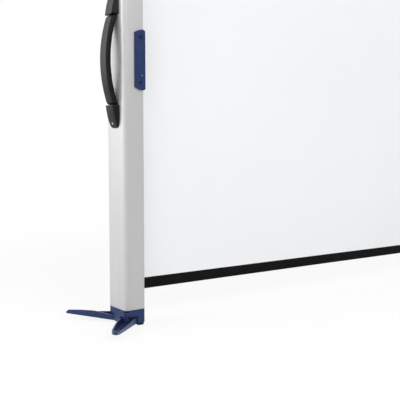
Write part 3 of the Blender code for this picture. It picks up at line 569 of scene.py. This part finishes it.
def build_wraps():
    """The wound cloth on the roller: one spiral strip of a few turns."""
    rings = []
    for i in range(WRAP_STEPS + 1):
        a = 2 * math.pi * WRAP_TURNS * i / WRAP_STEPS
        r = WRAP_INNER + (WRAP_OUTER - WRAP_INNER) * i / WRAP_STEPS
        s = r + WRAP_THICKNESS
        cross = ((r, SHEET_BOTTOM), (r, SHEET_TOP), (s, SHEET_TOP), (s, SHEET_BOTTOM))
        rings.append([(CASE_X + q * math.cos(a), ROLLER_Y + q * math.sin(a), z) for q, z in cross])
    stands_for(smooth(add("wound_cloth", loft(rings), WHITE), WRAP_SHARP), "fabric_wraps")


def shag_at(k, n):
    """Uneven pile: how full the strip is at a row and a point of its section."""
    wave = math.sin(SHAG_ROW * k + SHAG_POINT * n + SHAG_MIX * math.sin(SHAG_SWIRL * k * n))
    return 1.0 - SHAG * (0.5 + 0.5 * wave)


def build_felts():
    """Two pile strips that wipe the sheet where it leaves the case."""
    turns = [2 * math.pi * n / FELT_POINTS for n in range(FELT_POINTS)]
    for where in ("front", "rear"):
        low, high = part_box(f"slot_felt_{where}")
        middle, size = (low + high) / 2, high - low
        rings = []
        for k in range(FELT_ROWS + 1):
            z = low.z + size.z * k / FELT_ROWS
            ring = []
            for n, a in enumerate(turns):
                c, s = math.cos(a), math.sin(a)
                reach = FELT_FIT * shag_at(k, n) / (2 * max(abs(c), abs(s)))
                ring.append((middle.x + c * reach * size.x, middle.y + s * reach * size.y, z))
            rings.append(ring)
        strip = smooth(add(f"pile_strip_{where}", loft(rings), FELT), FELT_SHARP)
        stands_for(strip, f"slot_felt_{where}")


# Carry handle

STRAP_EDGE, STRAP_INNER_EDGE, TONGUE_EDGE = 0.0036, 0.0022, 0.0012
STRAP_EDGE_STEPS, INNER_EDGE_STEPS = 6, 4
GRIP_STEPS = 40
NOSE, NOSE_STEPS = 0.004, 7    # rounded end of the grip
NOSE_THIN, NOSE_NARROW = 0.30, 0.10    # what the grip loses over its nose
BOOT_CROWN = 0.0004
BOOT_ROUND = 0.03    # share of the length that rounds in at each end
BOOT_LIP, BOOT_TIP = 0.05, 0.35    # how much it rounds in at the mouth and at the toe
RIDGE_STEPS, RIDGE_MOST = 8, 0.4    # a ridge's rounding is at most this share of the height
CROWN_STEPS = 3
MOUTH_STATIONS = (0.0, 0.007, 0.016, 0.03, 0.06)    # shares of a boot's length
BODY_START, BODY_RUN, BODY_STEPS = 0.1, 0.87, 26
TOE_STATIONS = (0.98, 0.987, 0.994, 1.0)
BOOT_SCREW = 0.80    # share of the boot's length at which its screw sits
MM = 0.001
CROSS = (1.04, 1.08, 0.56, 0.40, 0.56, 1.08)    # radii of a cross recess, every 15 degrees, in mm
CROSS_TAPER = 0.8
HEAD_RINGS = (    # radii and heights of a screw head, in mm, up its side and into its recess
    ((2.1,) * 6, -0.7),
    ((2.1,) * 6, 0.10),
    ((1.98,) * 6, 0.28),
    ((1.65,) * 6, 0.38),
    (CROSS, 0.40),
    (tuple(CROSS_TAPER * r for r in CROSS), -0.40),
)
HEAD_POINTS = 24
STRAP_SHARP, BOOT_SHARP, HEAD_SHARP = 40.0, 50.0, 35.0    # degrees


def strap_gap(u):
    share = min(abs(u) / HALF_GRIP, 1.0)
    return STRAP_GAP + (STRAP_STAND - STRAP_GAP) * (1 - share * share)


def strap_ring(u, near, thick, width, edge, inner_edge):
    """Section of the strap with softer edges on the side away from the case."""
    half = width / 2
    outline = (
        arc(thick - edge, half - edge, edge, 0, 90, STRAP_EDGE_STEPS)
        + arc(inner_edge, half - inner_edge, inner_edge, 90, 180, INNER_EDGE_STEPS)
        + arc(inner_edge, -half + inner_edge, inner_edge, 180, 270, INNER_EDGE_STEPS)
        + arc(thick - edge, -half + edge, edge, 270, 360, STRAP_EDGE_STEPS)
    )
    return [(near - o, HANDLE_Y + y, MIDDLE + u) for o, y in outline]


def build_strap():
    """Bowed rubber grip with rounded ends that step down to a thin tongue inside each boot."""
    nose_start = HALF_GRIP - GRIP_STEP - NOSE
    stations = [(nose_start * i / GRIP_STEPS, 0.0) for i in range(GRIP_STEPS + 1)]
    for i in range(1, NOSE_STEPS + 1):
        turn = math.pi / 2 * i / NOSE_STEPS
        stations.append((nose_start + NOSE * math.sin(turn), 1 - math.cos(turn)))
    rings = []
    for u, shrink in stations:
        full = 1.0 - NOSE_THIN * shrink
        width = STRAP_WIDTH * (1.0 - NOSE_NARROW * shrink)
        size = (STRAP_THICKNESS * full, width, STRAP_EDGE * full, STRAP_INNER_EDGE * full)
        rings.append((u, strap_gap(u), size))
    tongue = (TONGUE_THICKNESS, TONGUE_WIDTH, TONGUE_EDGE, TONGUE_EDGE)
    for u in (HALF_GRIP, HANDLE_REACH - TONGUE_SHORT):
        rings.append((u, STRAP_GAP, tongue))
    both = [(-u, gap, size) for u, gap, size in reversed(rings[1:])] + rings
    loops = [strap_ring(u, CASE_LEFT - gap, *size) for u, gap, size in both]
    stands_for(smooth(add("handle_grip", loft(loops), RUBBER), STRAP_SHARP), "handle_strap")


def boot_height(share):
    return BOOT_HEIGHT - BOOT_FALL * share - BOOT_DIP * share ** 3


def boot_place(share, way):
    """Height above the table at a share of a boot's length; way is up or down the case."""
    return MIDDLE + way * (HALF_GRIP + (HANDLE_REACH - HALF_GRIP) * share)


def boot_ring(share, way):
    """Section of a boot: lipped mouth, leaning sides and a crowned face, closing to a toe."""
    mouth = max(1 - share / BOOT_ROUND, 0.0)
    toe = max(1 - (1 - share) / BOOT_ROUND, 0.0)
    lip = 1.0 - BOOT_LIP * mouth ** 2 - BOOT_TIP * toe ** 2
    near_toe = min(max(share - BOOT_TOE_START, 0.0) / (1 - BOOT_TOE_START), 1.0)
    full = (1 - near_toe ** 3) ** (1 / 3)
    half = lip * (BOOT_TOE_WIDTH + (BOOT_WIDTH - BOOT_TOE_WIDTH) * full) / 2
    tall = lip * boot_height(share)
    flat = half * (1 - BOOT_LEAN)
    slant = Vector((half - flat, -tall)).normalized()
    turn = min(BOOT_RIDGE, RIDGE_MOST * tall)
    corner = Vector((flat, tall))
    low, high = corner + turn * slant, corner - Vector((turn, 0.0))
    side = [(half, 0.0)]
    for k in range(RIDGE_STEPS + 1):
        t = k / RIDGE_STEPS
        side.append(tuple(low.lerp(corner, t).lerp(corner.lerp(high, t), t)))
    for k in range(CROWN_STEPS - 1, 0, -1):
        t = k / CROWN_STEPS
        side.append((high.x * t, tall + BOOT_CROWN * (1 - t ** 2)))
    outline = side + [(0.0, tall + BOOT_CROWN)] + [(-y, out) for y, out in reversed(side)]
    z = boot_place(share, way)
    return [(CASE_LEFT - CLEAR - out, HANDLE_Y + y, z) for y, out in outline]


def screw_head(spot, axis):
    """Low rounded head with a cross recess."""
    turn = axis.to_track_quat("Z", "Y")
    rings = []
    for radii, rise in HEAD_RINGS:
        ring = []
        for k in range(HEAD_POINTS):
            r, a = radii[k % len(radii)], 2 * math.pi * k / HEAD_POINTS
            ring.append(spot + turn @ Vector((r * math.cos(a), r * math.sin(a), rise)) * MM)
        rings.append(ring)
    return loft(rings)


def build_boots():
    """Boots that close the handle's ends, each with a small screw near its toe."""
    body = [BODY_START + BODY_RUN * i / BODY_STEPS for i in range(BODY_STEPS + 1)]
    stations = [*MOUTH_STATIONS, *body, *TOE_STATIONS]
    out = boot_height(BOOT_SCREW) + BOOT_CROWN
    fall = (BOOT_FALL + 3 * BOOT_DIP * BOOT_SCREW ** 2) / (HANDLE_REACH - HALF_GRIP)
    for where, way in (("lower", -1.0), ("upper", 1.0)):
        shell = loft([boot_ring(s, way) for s in stations])
        boot = smooth(add(f"handle_boot_{where}_shown", shell, RUBBER), BOOT_SHARP)
        stands_for(boot, f"handle_boot_{where}")
        spot = Vector((CASE_LEFT - CLEAR - out, HANDLE_Y, boot_place(BOOT_SCREW, way)))
        head_bm = screw_head(spot, Vector((-1.0, 0.0, way * fall)))
        head = smooth(add(f"handle_boot_screw_{where}", head_bm, STEEL), HEAD_SHARP)
        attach(head, "case")


# Moulded and metal pieces taken from the CAD, with the widths of their rounded edges

FOOT_EDGE, LEG_EDGE, CAP_EDGE = 0.0004, 0.0005, 0.0004
PAD_EDGE, TIP_PAD_EDGE, PIN_EDGE, SCREW_EDGE = 0.0004, 0.0002, 0.0002, 0.00025
CATCH_EDGE, STUD_EDGE = 0.0022, 0.0003
LATCH_EDGE, LEVER_EDGE, PIVOT_EDGE = 0.0010, 0.0005, 0.0003


def build_rigid():
    """Rounded copies of the moulded and metal pieces, and materials for the hidden ones."""
    for word in ("case", "post"):
        # feet and legs: rims and outer edges in the paler blue, a painted highlight
        dress(word + "_foot", FOOT_EDGE, rim_highlight=RIM_HIGHLIGHT_BLUE)
        dress(word + "_top_cap", CAP_EDGE)
        for where in ("front", "rear"):
            dress(f"{word}_leg_{where}", LEG_EDGE, rim_highlight=RIM_HIGHLIGHT_BLUE)
            dress(f"{word}_leg_pad_{where}", TIP_PAD_EDGE, 2, PAD_RUBBER)
            dress(f"{word}_leg_pin_{where}", PIN_EDGE, 2)
        for where in ("front", "middle", "rear"):
            dress(f"{word}_foot_pad_{where}", PAD_EDGE, 2, PAD_RUBBER)
        for where in ("lower", "upper"):
            dress(f"{word}_cap_screw_{where}", SCREW_EDGE, 2)
    for where in ("lower", "upper"):
        dress(f"catch_screw_{where}", SCREW_EDGE, 2)
        dress(f"latch_screw_{where}", SCREW_EDGE, 2)
    dress("catch_plate", CATCH_EDGE, 6)
    # the stud is shown in the lighter blue, a painted highlight
    dress("catch_stud", STUD_EDGE, 2, STUD_HIGHLIGHT_BLUE)
    dress("latch_plate", LATCH_EDGE, 4)
    dress("latch_lever", LEVER_EDGE)
    dress("latch_pivot", PIVOT_EDGE, 2)
    for name, node in NODES.items():
        node.data.materials.clear()
        node.data.materials.append(MATERIAL_OF_SLOT[SLOT_OF[name]])


set_stage()
build_rigid()
build_post("case", CASE_LEFT, CASE_RIGHT, OUTER_RADIUS, INNER_RADIUS, CASE_RIGHT)
build_post("post", POST_LEFT, POST_RIGHT, INNER_RADIUS, OUTER_RADIUS, POST_LEFT)
build_sheet()
build_wraps()
build_felts()
build_strap()
build_boots()
